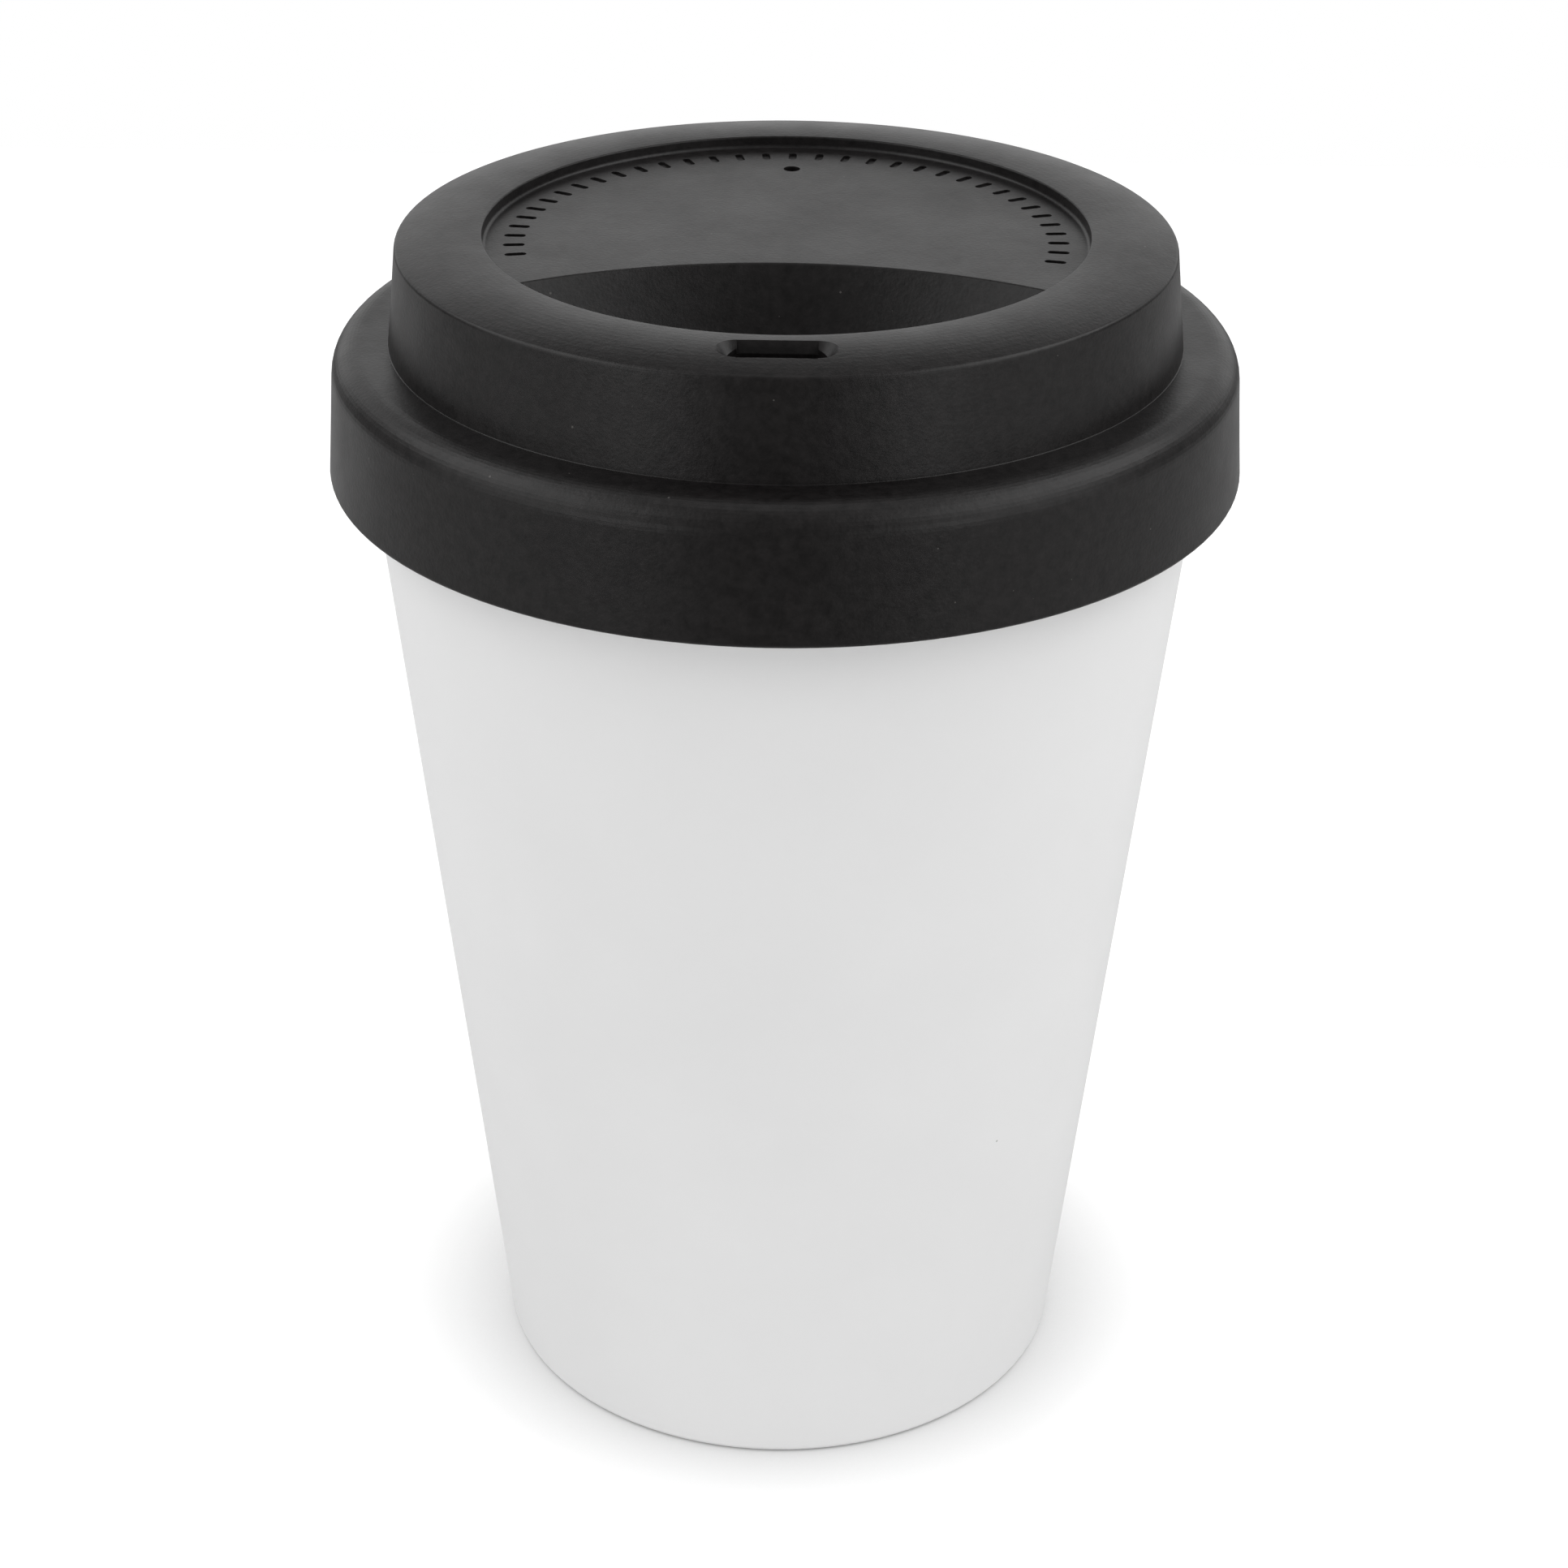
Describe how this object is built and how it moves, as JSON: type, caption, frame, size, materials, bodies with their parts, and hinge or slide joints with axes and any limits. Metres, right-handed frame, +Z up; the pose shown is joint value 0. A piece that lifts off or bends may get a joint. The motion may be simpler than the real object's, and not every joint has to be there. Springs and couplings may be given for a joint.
{
  "type": "reusable coffee cup",
  "caption": "Tapered white reusable coffee cup with a thick push-on dark silicone lid that has a raised drinking ring, a sip slot, a vent hole and a pocket for the upper lip.",
  "frame": {"origin": "centre of the foot, on the table, on the cup's axis", "axes": "+Z up along the cup's axis; -Y points from the axis toward the sip slot; +X is to the right seen from the slot's side"},
  "size_m": [0.09, 0.09, 0.1252],
  "materials": {
    "cup": "satin moulded white",
    "lid": "matt moulded charcoal silicone"
  },
  "bodies": {
    "cup": {"cup": "cup"},
    "lid": {"lid": "lid"}
  },
  "joints": [
    {"name": "lid_lift", "type": "slide", "parent": "cup", "child": "lid", "axis": [0, 0, 1], "range_m": [0, 0.04]}
  ]
}
